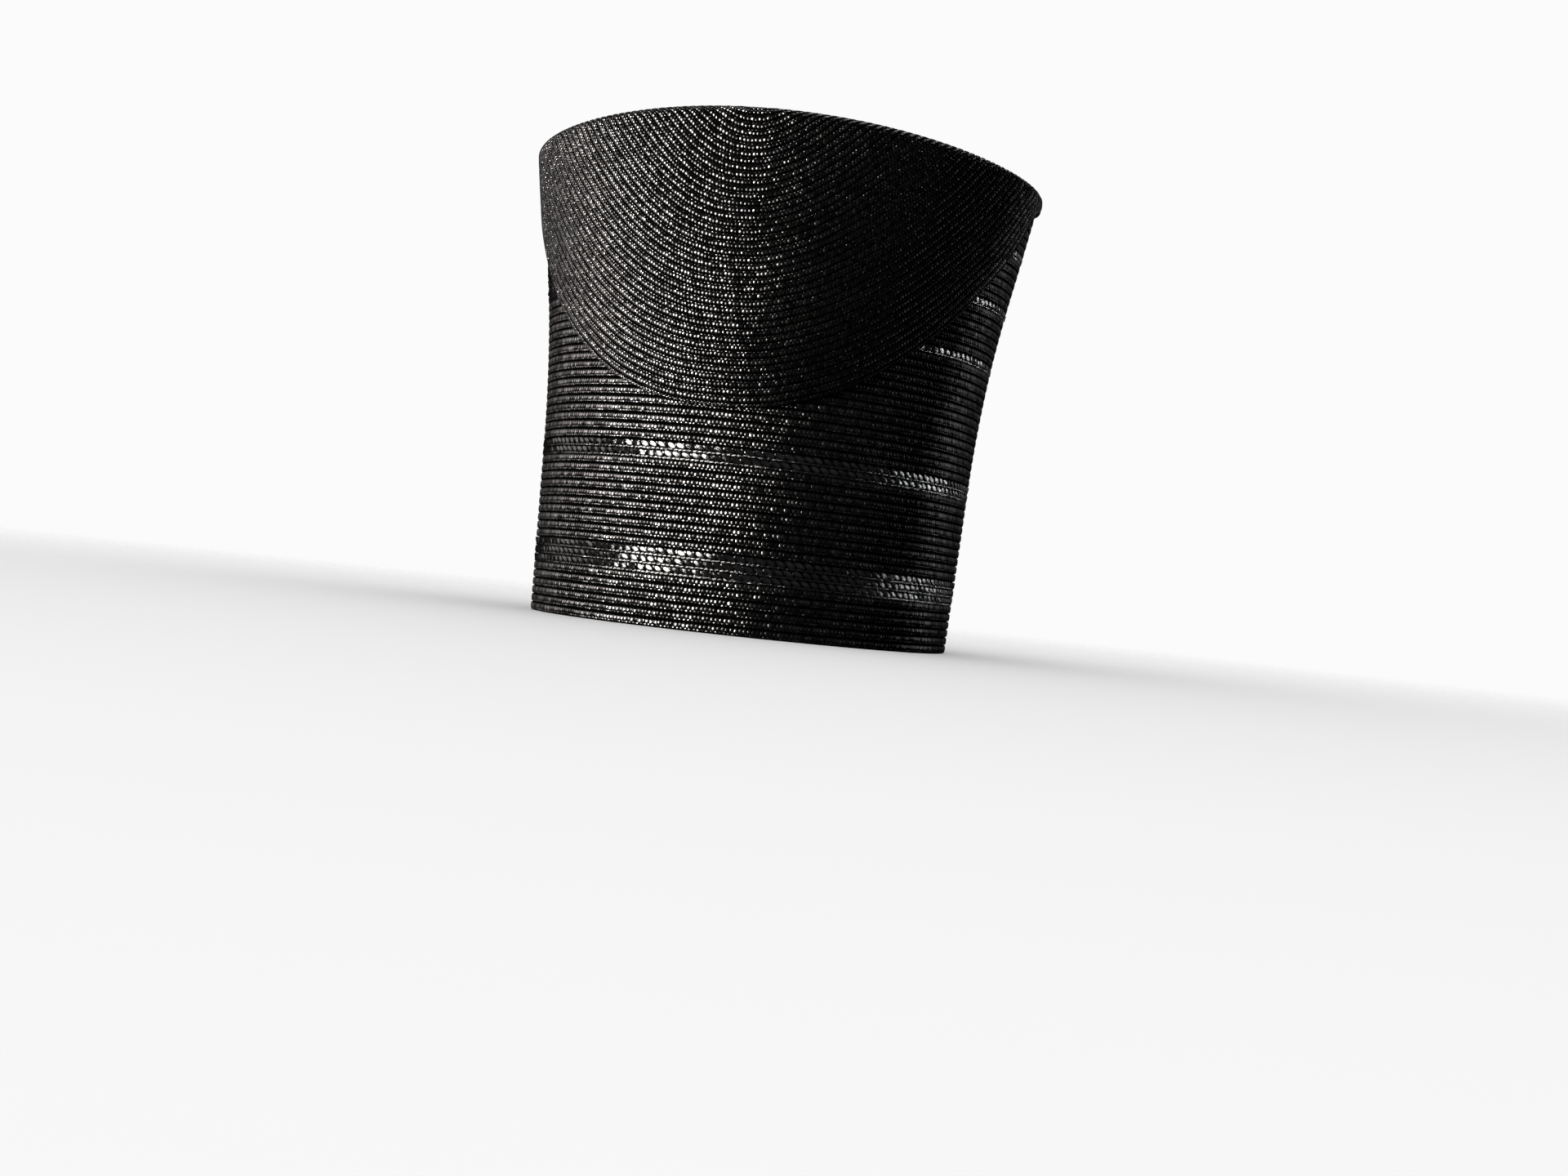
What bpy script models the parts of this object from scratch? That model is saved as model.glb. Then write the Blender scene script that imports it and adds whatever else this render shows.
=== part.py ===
"""Toque of braid rows: an oval tube of constant girth with a spiral-sewn disc over its top and front.

Units are metres. The rim lies in the plane z = 0, the front faces -Y and the top points up +Z.
"""
import bmesh
import bpy
import math
import numpy as np
from collections import namedtuple
from mathutils import Vector

MM = 0.001

# Driving sizes
GIRTH = 582.0 * MM
ROW_PITCH = 3.35 * MM
WALL_THICKNESS = 2.6 * MM
GROOVE_DEPTH = 1.5 * MM
BAND_THICKNESS = 1.1 * MM
BAND_CLEARANCE = 0.3 * MM
BAND_END_CLEARANCE = 0.4 * MM
DISC_THICKNESS = 1.4 * MM
DISC_CLEARANCE = 0.45 * MM
FOLD_RADIUS = 3.5 * MM
CORNER_HEIGHT = 193.6 * MM
FRONT_ARCH = 9.7 * MM
TOP_CROWN = 2.5 * MM
SPIRAL_SETBACK = 23.0 * MM
WALL_EDGE_BEVEL = 1.5 * MM
UPPER_START = 170.0 * MM
STATIONS = 48
FINE_STEPS = 720
SIDE_STEP = 0.01 * MM
MERGE_DISTANCE = 0.00002

# Outside of the wall: height above the rim and half of the width from side to side, in mm
Section = namedtuple("Section", "height half_width")
WALL_SECTIONS = (
    Section(0.0, 87.2),
    Section(45.0, 88.9),
    Section(86.0, 90.6),
    Section(118.0, 93.6),
    Section(143.0, 97.4),
    Section(164.0, 101.3),
    Section(191.0, 106.1),
    Section(206.0, 108.2),
)

# Free edge of the disc: distance along the girth from the front middle and depth below the fold, in mm
Edge = namedtuple("Edge", "along depth")
APRON_EDGE = (
    Edge(0.0, 118.2),
    Edge(10.0, 117.8),
    Edge(20.0, 116.2),
    Edge(30.0, 113.0),
    Edge(40.0, 108.7),
    Edge(50.0, 103.0),
    Edge(60.0, 96.0),
    Edge(70.0, 88.2),
    Edge(80.0, 79.3),
    Edge(90.0, 69.6),
    Edge(100.0, 58.8),
    Edge(110.0, 47.6),
    Edge(120.0, 35.8),
    Edge(128.0, 24.5),
    Edge(136.0, 13.0),
    Edge(145.0, 7.5),
    Edge(160.0, 6.5),
    Edge(291.0, 6.5),
)

# Accent bands: first and last row from the rim, start and end along the girth in mm
# As seen from the front, its middle is 0, the right side is positive and 0 to 0 runs all round
Band = namedtuple("Band", "name first_row last_row start end")
BANDS = (
    Band("accent_band_lower", 7, 9, 0.0, 0.0),
    Band("accent_band_middle", 20, 21, 0.0, 0.0),
    Band("accent_band_left", 39, 43, -284.9, -79.0),
    Band("accent_row_right_low", 36, 36, 67.0, 284.9),
    Band("accent_row_right_mid", 43, 43, 91.0, 284.9),
    Band("accent_row_right_high", 50, 50, 115.0, 284.9),
)

# Heights in mm at which the plain parts of the wall get a ring of points
OUTER_HEIGHTS = (0.0, 45.0, 86.0, 104.0, 154.0)
INNER_HEIGHTS = (0.0, 45.0, 86.0, 104.0, 118.0, 131.0, 143.0, 154.0, 164.0)
UPPER_SHARES = (0.0, 0.5, 1.0)
GIRTH_SOLVE_STEPS = 50
FOLD_SOLVE_STEPS = 4

# Rings of the disc: share of the way from the spiral centre to the fold,
# angle in degrees round the fold, and share of the hang below it
TOP_SHARES = (0.14, 0.32, 0.52, 0.72, 0.88)
FOLD_ANGLES = (90.0, 60.0, 30.0)
HANG_SHARES = (0.0, 0.14, 0.28, 0.43, 0.58, 0.72, 0.86, 1.0)

MATERIALS = {
    "braid": ((0.012, 0.012, 0.013, 1.0), 0.38, 0.0),
    "disc_braid": ((0.014, 0.014, 0.015, 1.0), 0.36, 0.0),
    "accent_plait": ((0.010, 0.010, 0.011, 1.0), 0.16, 0.0),
}


def make_material(name):
    colour, roughness, metallic = MATERIALS[name]
    material = bpy.data.materials.new(name)
    material.use_nodes = True
    shader = material.node_tree.nodes["Principled BSDF"]
    shader.inputs["Base Color"].default_value = colour
    shader.inputs["Roughness"].default_value = roughness
    shader.inputs["Metallic"].default_value = metallic
    return material


def half_depth(half_width):
    """Half of the front to back length that keeps the girth of the oval."""
    low, high = 0.3 * half_width, 2.0 * half_width
    for _ in range(GIRTH_SOLVE_STEPS):
        middle = 0.5 * (low + high)
        if oval_girth(half_width, middle) < GIRTH:
            low = middle
        else:
            high = middle
    return 0.5 * (low + high)


def oval_girth(half_width, depth):
    angle = np.linspace(0.0, 2.0 * math.pi, FINE_STEPS + 1)
    x, y = half_width * np.cos(angle), depth * np.sin(angle)
    return float(np.hypot(np.diff(x), np.diff(y)).sum())


SECTION_HEIGHTS = np.array([section.height for section in WALL_SECTIONS]) * MM
SECTION_WIDTHS = np.array([section.half_width for section in WALL_SECTIONS]) * MM
SECTION_DEPTHS = np.array([half_depth(width) for width in SECTION_WIDTHS])
EDGE_ALONG = np.array([edge.along for edge in APRON_EDGE]) * MM
EDGE_DEPTH = np.array([edge.depth for edge in APRON_EDGE]) * MM


def smooth_table(heights, values, height):
    """Monotone cubic through the table, so the flare has no kinks."""
    steps = np.diff(heights)
    slopes = np.diff(values) / steps
    tangents = np.empty_like(values)
    tangents[0], tangents[-1] = slopes[0], slopes[-1]
    tangents[1:-1] = 0.5 * (slopes[:-1] + slopes[1:])
    i = int(np.clip(np.searchsorted(heights, height) - 1, 0, len(steps) - 1))
    u = min(max((height - heights[i]) / steps[i], 0.0), 1.0)
    rise = u * u * (3.0 - 2.0 * u)
    return (
        values[i] * (1.0 - rise)
        + values[i + 1] * rise
        + steps[i] * (tangents[i] * u * (1.0 - u) ** 2 - tangents[i + 1] * u * u * (1.0 - u))
    )


def wall_point(along, height, offset):
    """Point on the wall at a distance along the girth, moved outwards by the offset."""
    width = smooth_table(SECTION_HEIGHTS, SECTION_WIDTHS, height)
    depth = smooth_table(SECTION_HEIGHTS, SECTION_DEPTHS, height)
    angle = np.linspace(-0.5 * math.pi, 1.5 * math.pi, FINE_STEPS + 1)
    x, y = width * np.cos(angle), depth * np.sin(angle)
    length = np.concatenate(([0.0], np.cumsum(np.hypot(np.diff(x), np.diff(y)))))
    target = (along / GIRTH % 1.0) * length[-1]
    at = float(np.interp(target, length, angle))
    outwards = Vector((math.cos(at) / width, math.sin(at) / depth, 0.0)).normalized()
    return Vector((width * math.cos(at), depth * math.sin(at), height)) + outwards * offset, outwards


def top_height(x, y):
    """Height of the outside of the top, arched from side to side with a low crown."""
    outer = DISC_CLEARANCE + DISC_THICKNESS - FOLD_RADIUS
    width = smooth_table(SECTION_HEIGHTS, SECTION_WIDTHS, CORNER_HEIGHT) + outer
    depth = smooth_table(SECTION_HEIGHTS, SECTION_DEPTHS, CORNER_HEIGHT) + outer
    arch = FRONT_ARCH * max(0.0, 1.0 - (x / width) ** 2)
    crown = TOP_CROWN * max(0.0, 1.0 - (x / width) ** 2 - (y / depth) ** 2) ** 2
    return CORNER_HEIGHT + arch + crown


def fold_start(along):
    """Point where the flat of the top meets the fold, with the outward direction there."""
    height = CORNER_HEIGHT
    for _ in range(FOLD_SOLVE_STEPS):
        outer = DISC_CLEARANCE + DISC_THICKNESS - FOLD_RADIUS
        point, outwards = wall_point(along, height - FOLD_RADIUS, outer)
        height = top_height(point.x, point.y)
    point.z = height
    return point, outwards


def edge_depth(along):
    """How far the disc hangs below the fold at a distance along the girth."""
    distance = min(along % GIRTH, GIRTH - along % GIRTH)
    return float(smooth_table(EDGE_ALONG, EDGE_DEPTH, distance))


def add_object(name, mesh_data, material_name):
    bmesh.ops.remove_doubles(mesh_data, verts=mesh_data.verts, dist=MERGE_DISTANCE)
    bmesh.ops.dissolve_degenerate(mesh_data, edges=mesh_data.edges, dist=MERGE_DISTANCE)
    bmesh.ops.triangulate(mesh_data, faces=mesh_data.faces, quad_method="SHORT_EDGE")
    bmesh.ops.recalc_face_normals(mesh_data, faces=mesh_data.faces)
    mesh = bpy.data.meshes.new(name)
    mesh_data.to_mesh(mesh)
    mesh_data.free()
    mesh.materials.append(make_material(material_name))
    item = bpy.data.objects.new(name, mesh)
    bpy.context.collection.objects.link(item)
    return item


def bridge_columns(mesh_data, columns, closed):
    """Faces between neighbouring columns of points, each column a closed loop of the same length."""
    vertices = [[mesh_data.verts.new(point) for point in column] for column in columns]
    count = len(vertices)
    for i in range(count if closed else count - 1):
        here, there = vertices[i], vertices[(i + 1) % count]
        for j in range(len(here)):
            k = (j + 1) % len(here)
            mesh_data.faces.new((here[j], there[j], there[k], here[k]))
    if not closed:
        mesh_data.faces.new(vertices[0])
        mesh_data.faces.new(list(reversed(vertices[-1])))


def band_heights(band):
    return (band.first_row - 1) * ROW_PITCH, band.last_row * ROW_PITCH


def in_band(along, height):
    """True where an accent band's groove runs."""
    signed = (along + 0.5 * GIRTH) % GIRTH - 0.5 * GIRTH
    for band in BANDS:
        bottom, top = band_heights(band)
        all_round = band.start == band.end
        beside = all_round or band.start * MM < signed < band.end * MM
        if bottom < height < top and beside:
            return True
    return False


def wall_stations():
    """Distances along the girth, with a pair of columns at each end of a groove."""
    stations = [(GIRTH * i / STATIONS, 0.0) for i in range(STATIONS)]
    part_way = [band for band in BANDS if band.start != band.end]
    ends = {band.start for band in part_way} | {band.end for band in part_way}
    for end in ends:
        along = (end * MM) % GIRTH
        stations += [(along, -SIDE_STEP), (along, SIDE_STEP)]
    return sorted(stations, key=lambda station: station[0] + station[1])


def wall_levels():
    """Heights of the outside rings, with a pair of rings at each edge of a groove."""
    levels = [(height * MM, 0.0) for height in OUTER_HEIGHTS]
    edges = set()
    for band in BANDS:
        edges |= set(band_heights(band))
    for edge in edges:
        levels += [(edge, -SIDE_STEP), (edge, SIDE_STEP)]
    return sorted(levels, key=lambda level: level[0] + level[1])


def wall_top(along):
    """Height of the wall's top edge, just clear of the underside of the disc."""
    return fold_start(along)[0].z - DISC_THICKNESS - DISC_CLEARANCE


def build_side_wall():
    mesh_data = bmesh.new()
    columns = []
    for along, side in wall_stations():
        column = []
        for height, step in wall_levels():
            depth = GROOVE_DEPTH if in_band(along + side, height + step) else 0.0
            column.append(wall_point(along, height, -depth)[0])
        top = wall_top(along)
        shoulder = top - WALL_EDGE_BEVEL
        upper = [UPPER_START + share * (shoulder - UPPER_START) for share in UPPER_SHARES]
        for height in upper:
            column.append(wall_point(along, height, 0.0)[0])
        column.append(wall_point(along, top, -WALL_EDGE_BEVEL)[0])
        column.append(wall_point(along, top, -WALL_THICKNESS)[0])
        inner = [height * MM for height in INNER_HEIGHTS] + upper[:-1]
        for height in reversed(inner):
            column.append(wall_point(along, height, -WALL_THICKNESS)[0])
        columns.append(column)
    bridge_columns(mesh_data, columns, True)
    return add_object("side_wall", mesh_data, "braid")


def band_stations(band):
    """Distances along the girth of a band's columns, with its two ends pulled in for clearance."""
    stations = [GIRTH * i / STATIONS for i in range(STATIONS)]
    if band.start == band.end:
        return stations
    first = band.start * MM + BAND_END_CLEARANCE
    last = band.end * MM - BAND_END_CLEARANCE
    centred = [along if along <= 0.5 * GIRTH else along - GIRTH for along in stations]
    inside = sorted(along for along in centred if first < along < last)
    return [first] + inside + [last]


def band_levels(bottom, top):
    """Heights of a band's rings: its own two edges and those of the wall between them."""
    levels = [height for height, _ in wall_levels() if bottom + ROW_PITCH / 2 < height < top - ROW_PITCH / 2]
    return [bottom + BAND_CLEARANCE] + sorted(set(levels)) + [top - BAND_CLEARANCE]


def build_band(band):
    mesh_data = bmesh.new()
    bottom, top = band_heights(band)
    columns = []
    for along in band_stations(band):
        levels = band_levels(bottom, top)
        outside = [wall_point(along, height, 0.0)[0] for height in levels]
        inside = [wall_point(along, height, -BAND_THICKNESS)[0] for height in reversed(levels)]
        columns.append(outside + inside)
    bridge_columns(mesh_data, columns, band.start == band.end)
    return add_object(band.name, mesh_data, "accent_plait")


def disc_column(along, inset):
    """Points of one line of the disc from beside the spiral centre to its free edge."""
    start, outwards = fold_start(along)
    centre = spiral_centre()
    column = []
    for share in TOP_SHARES:
        x = centre.x + share * (start.x - centre.x)
        y = centre.y + share * (start.y - centre.y)
        column.append(Vector((x, y, top_height(x, y) - inset)))
    hinge = Vector((start.x, start.y, start.z - FOLD_RADIUS))
    for angle in FOLD_ANGLES:
        turn = math.radians(angle)
        swing = outwards * math.cos(turn) + Vector((0.0, 0.0, math.sin(turn)))
        column.append(hinge + swing * (FOLD_RADIUS - inset))
    hang = edge_depth(along) - FOLD_RADIUS
    offset = DISC_CLEARANCE + DISC_THICKNESS - inset
    for share in HANG_SHARES:
        column.append(wall_point(along, hinge.z - share * hang, offset)[0])
    return column


def spiral_centre():
    """Centre of the spiral, set back from the fold at the front middle."""
    front = fold_start(0.0)[0]
    y = front.y - FOLD_RADIUS + SPIRAL_SETBACK
    return Vector((0.0, y, top_height(0.0, y)))


def build_spiral_disc():
    mesh_data = bmesh.new()
    centre = spiral_centre()
    outer_tip = mesh_data.verts.new(centre)
    inner_tip = mesh_data.verts.new(centre - Vector((0.0, 0.0, DISC_THICKNESS)))
    columns = []
    for i in range(STATIONS):
        along = GIRTH * i / STATIONS
        outside = disc_column(along, 0.0)
        inside = disc_column(along, DISC_THICKNESS)
        columns.append([mesh_data.verts.new(point) for point in outside + inside[::-1]])
    for i, here in enumerate(columns):
        there = columns[(i + 1) % STATIONS]
        for j in range(len(here) - 1):
            mesh_data.faces.new((here[j], there[j], there[j + 1], here[j + 1]))
        mesh_data.faces.new((outer_tip, there[0], here[0]))
        mesh_data.faces.new((inner_tip, here[-1], there[-1]))
    return add_object("spiral_disc", mesh_data, "disc_braid")


for item in list(bpy.data.objects):
    bpy.data.objects.remove(item, do_unlink=True)

build_side_wall()
build_spiral_disc()
for band in BANDS:
    build_band(band)
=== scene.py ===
import bmesh
import bpy
import math
import numpy as np
from collections import namedtuple
from mathutils import Matrix
from mathutils import Vector


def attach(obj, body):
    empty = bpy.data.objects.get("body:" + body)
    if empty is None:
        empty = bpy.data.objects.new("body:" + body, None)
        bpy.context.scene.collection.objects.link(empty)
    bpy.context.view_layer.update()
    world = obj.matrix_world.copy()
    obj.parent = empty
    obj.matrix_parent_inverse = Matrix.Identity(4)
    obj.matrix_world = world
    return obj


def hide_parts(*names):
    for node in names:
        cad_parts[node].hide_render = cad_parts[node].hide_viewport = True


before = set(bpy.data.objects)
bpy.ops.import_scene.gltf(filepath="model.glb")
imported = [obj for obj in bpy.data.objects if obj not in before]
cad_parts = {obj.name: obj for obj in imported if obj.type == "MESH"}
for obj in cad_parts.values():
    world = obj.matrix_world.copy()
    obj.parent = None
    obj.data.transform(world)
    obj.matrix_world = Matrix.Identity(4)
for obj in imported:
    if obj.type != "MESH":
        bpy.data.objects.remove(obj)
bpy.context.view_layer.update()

MM = 0.001

# Sizes of the toque, the same as in the frame
GIRTH = 582.0 * MM
ROW_PITCH = 3.35 * MM
WALL_ROWS = 60
WALL_THICKNESS = 2.6 * MM
DISC_THICKNESS = 1.4 * MM
DISC_CLEARANCE = 0.45 * MM
DISC_OFFSET = DISC_THICKNESS + DISC_CLEARANCE
DISC_ROWS = 50
FOLD_RADIUS = 3.5 * MM
CORNER_HEIGHT = 193.6 * MM
FRONT_ARCH = 9.7 * MM
TOP_CROWN = 2.5 * MM
SPIRAL_SETBACK = 23.0 * MM
ACCENT_BED = 1.2 * MM

# Length of a stitch along its row: so many round the wall, and a size on the disc and the plait
WALL_STITCHES = 352
DISC_STITCH = 1.55 * MM
ACCENT_STITCH = 3.8 * MM

Section = namedtuple("Section", "height half_width")
WALL_SECTIONS = (
    Section(0.0, 87.2),
    Section(45.0, 88.9),
    Section(86.0, 90.6),
    Section(118.0, 93.6),
    Section(143.0, 97.4),
    Section(164.0, 101.3),
    Section(191.0, 106.1),
    Section(206.0, 108.2),
)

# Free edge of the disc: along the girth from the front middle and depth below the fold, in mm
Edge = namedtuple("Edge", "along depth")
APRON_EDGE = (
    Edge(0.0, 118.2),
    Edge(10.0, 117.8),
    Edge(20.0, 116.2),
    Edge(30.0, 113.0),
    Edge(40.0, 108.7),
    Edge(50.0, 103.0),
    Edge(60.0, 96.0),
    Edge(70.0, 88.2),
    Edge(80.0, 79.3),
    Edge(90.0, 69.6),
    Edge(100.0, 58.8),
    Edge(110.0, 47.6),
    Edge(120.0, 35.8),
    Edge(128.0, 24.5),
    Edge(136.0, 13.0),
    Edge(145.0, 7.5),
    Edge(160.0, 6.5),
    Edge(291.0, 6.5),
)

# Lines of the disc from its centre round the side: where each meets the free edge and the fold,
# and the share of its rows that lie on the top
Spoke = namedtuple("Spoke", "edge_along fold_along top_share")
SIDE_SPOKES = (
    Spoke(140.0, 100.0, 0.733),
    Spoke(144.0, 115.0, 0.838),
    Spoke(147.0, 125.0, 0.905),
    Spoke(150.0, 133.0, 0.940),
    Spoke(156.0, 145.0, 0.952),
    Spoke(165.0, 160.0, 0.954),
    Spoke(182.0, 180.0, 0.954),
    Spoke(201.0, 200.0, 0.954),
    Spoke(291.0, 291.0, 0.954),
)

# Accent bands: rows counted from the rim, start and end along the girth in mm, seen from the front
Band = namedtuple("Band", "name first_row last_row start end")
BANDS = (
    Band("accent_band_lower", 7, 9, 0.0, 0.0),
    Band("accent_band_middle", 20, 21, 0.0, 0.0),
    Band("accent_band_left", 39, 43, -284.9, -79.0),
    Band("accent_row_right_low", 36, 36, 67.0, 284.9),
    Band("accent_row_right_mid", 43, 43, 91.0, 284.9),
    Band("accent_row_right_high", 50, 50, 115.0, 284.9),
)

# Shape of one sewn row across its width: share of the row and lift off the wall in mm
Relief = namedtuple("Relief", "share lift")
WALL_RELIEF = (
    Relief(0.00, -0.80),
    Relief(0.05, -0.42),
    Relief(0.10, -0.06),
    Relief(0.20, 0.07),
    Relief(0.45, 0.17),
    Relief(0.70, 0.13),
    Relief(0.89, -0.03),
    Relief(0.955, -0.34),
)
DISC_RELIEF = (
    Relief(0.00, -0.42),
    Relief(0.07, -0.12),
    Relief(0.16, 0.02),
    Relief(0.48, 0.11),
    Relief(0.82, 0.04),
    Relief(0.94, -0.14),
)

# Fineness of the rows' meshes and of the charts that place them
WALL_COLUMNS = 180
INNER_LEVELS = 13
SPOKE_STEP = 2.65 * MM
DISC_INNER_RINGS = 26
ANGLE_HEIGHTS = 104
ANGLE_STEPS = 720
FOLD_STEPS = 1164
EDGE_STEPS = 3000
MERGE_DISTANCE = 0.002 * MM

# Rounds of the searches for the oval's depth, the corner line's height and its nearest point
DEPTH_ROUNDS = 50
LEAST_DEPTH = 0.3
MOST_DEPTH = 2.0
FOLD_ROUNDS = 4
NEAREST_ROUNDS = 6
NEAREST_STEP = 0.8

# The wall's top edge is set back under the disc, and past this depth its faces look inwards
SET_BACK = 1.5 * MM
INSIDE_FROM = 2.0 * MM

# Thickness of the disc's rows, and how far round from the front its apron reaches, in mm
DISC_SHELL = 1.1 * MM
APRON_END = 136.0

# A hair to either side of a row's edge, as a share of the row
HAIR = 0.001

# The two leaves of a plait stitch: middle as a share of the row, number to a stitch, half length,
# half width, rise and lift off the wall in mm, and slant in degrees
Leaf = namedtuple("Leaf", "share copies length width height lift slant")
LEAVES = (
    Leaf(0.58, 1, 2.20, 1.00, 0.36, -0.16, -24.0),
    Leaf(0.11, 2, 1.15, 0.42, 0.34, -0.36, 8.0),
)
LEAF_SEGMENTS = 8
LEAF_RINGS = 6
LEAF_FLATNESS = 0.45

# How far one leaf differs from the next: places in mm, turns in degrees, size as a share
Spread = namedtuple("Spread", "along height slant size tilt")
LEAF_SPREAD = Spread(0.10, 0.03, 3.0, 0.04, 4.0)

# Free end of an open band in mm, number of ridge patterns and their distance apart
BAND_END = 1.2
RIDGE_PATTERNS = 50
PATTERN_STEP = 4.0

# Steepest slopes of the gentle dome that a leaf shines as
Dome = namedtuple("Dome", "along across")
LEAF_DOME = Dome(0.16, 0.26)

# Stitches of a braid row: middle and half height as shares of the row, half length as a share
# of the stitch, and the steepest slopes along and across the row
Stitch = namedtuple("Stitch", "share half reach slope_along slope_across")
WALL_STITCH_SHAPES = (
    Stitch(0.62, 0.31, 0.47, 0.40, 0.28),
    Stitch(0.19, 0.12, 0.45, 0.50, 0.40),
)
DISC_STITCH_SHAPES = (
    Stitch(0.59, 0.36, 0.48, 0.40, 0.30),
    Stitch(0.12, 0.11, 0.45, 0.50, 0.40),
)

# How much each stitch leans its own way, as slopes along and across the row
LEANS = (0.31, 0.29)

# Finish of the braid: what all stitches share, and the spread from stitch to stitch
BRAID_COLOUR = (0.0009, 0.0009, 0.0009)
BRAID_IOR = 1.5
STITCH_ROUGHNESS = 0.16
ROUGHNESS_SPREAD = 0.10
LEAST_GLOSS = 0.10
GLOSS_SPREAD = 0.76
GLOSS_POWER = 2.0
BRAID_DARK_TONE = 0.5
BRAID_LIGHT_TONE = 1.6
FIBRE_SCALE = 7.0
FIBRE_DETAIL = 2.0
FIBRE_DEPTH = 0.03 * MM

# Where the braid is seen along its surface, its fibres blur the shine, more and more between these
GRAZING_START = 0.50
GRAZING_END = 0.80
GRAZING_ROUGHNESS = 0.45
GRAZING_LOSS = 0.7

# Finish of the plait, with fine ridges along each leaf
PLAIT_COLOUR = (0.0030, 0.0030, 0.0031)
PLAIT_IOR = 1.9
PLAIT_ROUGHNESS = 0.04
PLAIT_DARK_TONE = 0.6
PLAIT_LIGHT_TONE = 1.5
RIDGE_ROUGHNESS = 0.16
RIDGE_STRETCH = (0.35, 5.0, 1.0)
RIDGE_SCALE = 1.6
RIDGE_DETAIL = 3.0
RIDGE_DEPTH = 0.07 * MM

# The plait's gloss fades between these squares of the way from a leaf's middle to its rim
GLOSS_FULL = 0.25
GLOSS_END = 0.72

# Floor and surroundings, in metres
FLOOR_RADIUS = 1.1
FLOOR_FADE_START = 0.12
FLOOR_SIDES = 96
FLOOR_COLOUR = (0.93, 0.93, 0.93, 1.0)
FLOOR_ROUGHNESS = 0.9
SURROUNDINGS = (0.965, 0.965, 0.965, 1.0)

# Camera: turn and roll in degrees, places in metres, and the photograph's scale
CAMERA_TURN = 10.0
CAMERA_ROLL = 6.27
CAMERA_DISTANCE = 0.80
CAMERA_HEIGHT = 0.020
CAMERA_ASIDE = 0.017
CAMERA_NEAR = 0.01
SENSOR_WIDTH = 36.0
PICTURE_WIDTH = 1920.0
PIXELS_PER_MM = 2.88

# Soft lights: direction from the toque in degrees, distance and size in metres, power in watts,
# and the kinds of piece that each is flagged to
Light = namedtuple("Light", "name azimuth elevation distance width height power tint kinds")
WARM = (1.0, 0.95, 0.91)
WARMER = (1.0, 0.92, 0.89)
COOL = (0.97, 0.98, 1.0)
WHITE = (1.0, 1.0, 1.0)
LIGHTS = (
    Light("wall_key_softbox", -31.0, 14.0, 1.35, 0.48, 0.90, 135.0, WARM, "wall"),
    Light("disc_key_softbox", -47.0, 9.0, 1.35, 0.46, 0.76, 108.0, WARM, "disc"),
    Light("plait_key_softbox", -34.0, 14.0, 1.35, 0.36, 0.90, 36.0, WARM, "plait"),
    Light("left_softbox", -98.0, 14.0, 1.9, 1.4, 1.2, 30.0, WARMER, "wall"),
    Light("disc_left_softbox", -102.0, 12.0, 1.9, 1.2, 1.2, 12.0, WARMER, "disc"),
    Light("plait_left_softbox", -98.0, 14.0, 1.9, 1.4, 1.2, 5.0, WARMER, "plait"),
    Light("plait_right_strip", 118.0, 6.0, 1.4, 0.08, 0.46, 3.2, COOL, "plait"),
    Light("plait_fill_softbox", 42.0, 14.0, 2.0, 1.8, 1.3, 0.5, WHITE, "plait"),
    Light("right_softbox", 106.0, 10.0, 1.6, 0.8, 0.9, 1.2, COOL, "wall disc"),
    Light("right_back_softbox", 156.0, 14.0, 1.8, 0.7, 1.2, 2.5, COOL, "wall disc"),
    Light("plait_right_back_softbox", 156.0, 14.0, 1.8, 0.7, 1.2, 0.6, COOL, "plait"),
    Light("back_softbox", 190.0, 24.0, 1.7, 0.5, 0.8, 30.0, WHITE, "wall disc plait"),
    Light("overhead_softbox", 180.0, 66.0, 3.0, 1.8, 1.4, 40.0, WHITE, "wall disc plait"),
)
LIGHT_AIM_HEIGHT = 0.1


def metres(rows, field):
    """One field of a table in mm, as numbers in metres."""
    return np.array([getattr(row, field) for row in rows]) * MM


def smooth_table(keys, values, key):
    """Smooth curve through a table, with an even slope at each of its rows."""
    steps = np.diff(keys)
    slopes = np.diff(values) / steps
    tangents = np.empty_like(values)
    tangents[0], tangents[-1] = slopes[0], slopes[-1]
    tangents[1:-1] = 0.5 * (slopes[:-1] + slopes[1:])
    i = np.clip(np.searchsorted(keys, key) - 1, 0, len(steps) - 1)
    u = np.clip((key - keys[i]) / steps[i], 0.0, 1.0)
    rise = u * u * (3.0 - 2.0 * u)
    bow = steps[i] * (tangents[i] * u * (1.0 - u) ** 2 - tangents[i + 1] * u * u * (1.0 - u))
    return values[i] * (1.0 - rise) + values[i + 1] * rise + bow


def oval_lengths(half_width, half_depth):
    """Angles round an oval from the front middle and the length along it up to each."""
    angle = np.linspace(-0.5 * math.pi, 1.5 * math.pi, ANGLE_STEPS + 1)
    x, y = half_width * np.cos(angle), half_depth * np.sin(angle)
    return angle, np.concatenate(([0.0], np.cumsum(np.hypot(np.diff(x), np.diff(y)))))


def half_depth_for(half_width):
    """Half of the front to back length that keeps the girth of the oval."""
    low, high = LEAST_DEPTH * half_width, MOST_DEPTH * half_width
    for _ in range(DEPTH_ROUNDS):
        middle = 0.5 * (low + high)
        if oval_lengths(half_width, middle)[1][-1] < GIRTH:
            low = middle
        else:
            high = middle
    return 0.5 * (low + high)


SECTION_HEIGHTS = metres(WALL_SECTIONS, "height")
SECTION_WIDTHS = metres(WALL_SECTIONS, "half_width")
SECTION_DEPTHS = np.array([half_depth_for(width) for width in SECTION_WIDTHS])
EDGE_ALONG = metres(APRON_EDGE, "along")
EDGE_DEPTH = metres(APRON_EDGE, "depth")


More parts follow.
